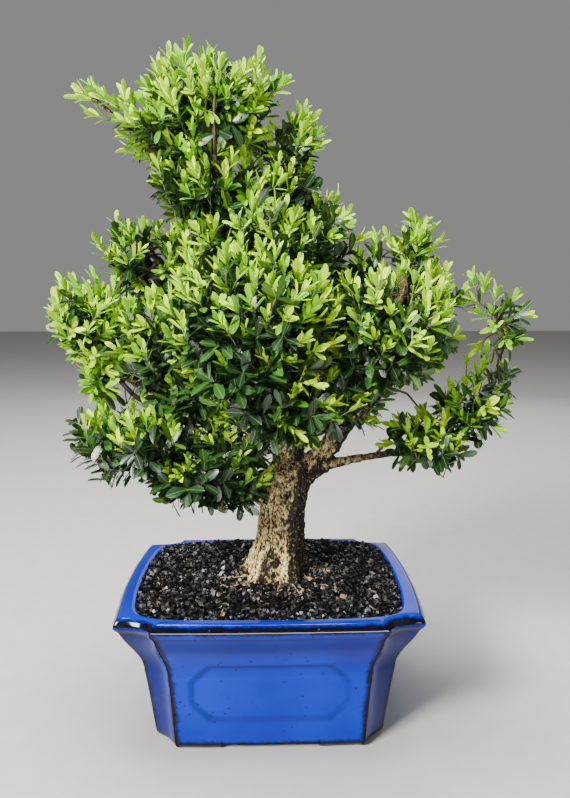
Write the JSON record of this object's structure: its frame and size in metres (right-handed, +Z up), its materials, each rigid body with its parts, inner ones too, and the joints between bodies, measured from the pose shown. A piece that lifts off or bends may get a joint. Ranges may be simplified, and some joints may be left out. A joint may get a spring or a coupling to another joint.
{
  "type": "bonsai tree in a pot",
  "caption": "Small-leaved evergreen bonsai with a flared, forked trunk and dense leaf pads, in black grit in a rectangular blue-glazed ceramic pot with a rolled lip and notched corners.",
  "frame": {"origin": "on the surface the pot stands on, under the centre of the whole plant's bounding box; the pot's own centre is 14 mm to the left of it and 3 mm in front of it", "axes": "+Z up; -Y is the front, the long side of the pot with the best view of the trunk; +X to the right as seen from the front"},
  "size_m": [0.334, 0.214, 0.466],
  "materials": {
    "glaze": "gloss",
    "soil": "matte",
    "bark": "matte",
    "leaf": "satin",
    "screen": "matte",
    "wire": "satin"
  },
  "bodies": {
    "root": {"pot": "glaze", "soil": "soil", "trunk_and_branches": "bark", "apex_leaves": "leaf", "apex_right_leaves": "leaf", "neck_leaves": "leaf", "upper_left_leaves": "leaf", "left_tip_leaves": "leaf", "middle_left_leaves": "leaf", "low_left_leaves": "leaf", "crown_leaves": "leaf", "front_leaves": "leaf", "right_upper_leaves": "leaf", "right_front_leaves": "leaf", "right_low_leaves": "leaf", "right_tip_leaves": "leaf", "back_leaves": "leaf", "back_left_leaves": "leaf", "back_right_leaves": "leaf", "left_drain_screen": "screen", "right_drain_screen": "screen", "left_screen_clip": "wire", "right_screen_clip": "wire"}
  },
  "joints": []
}
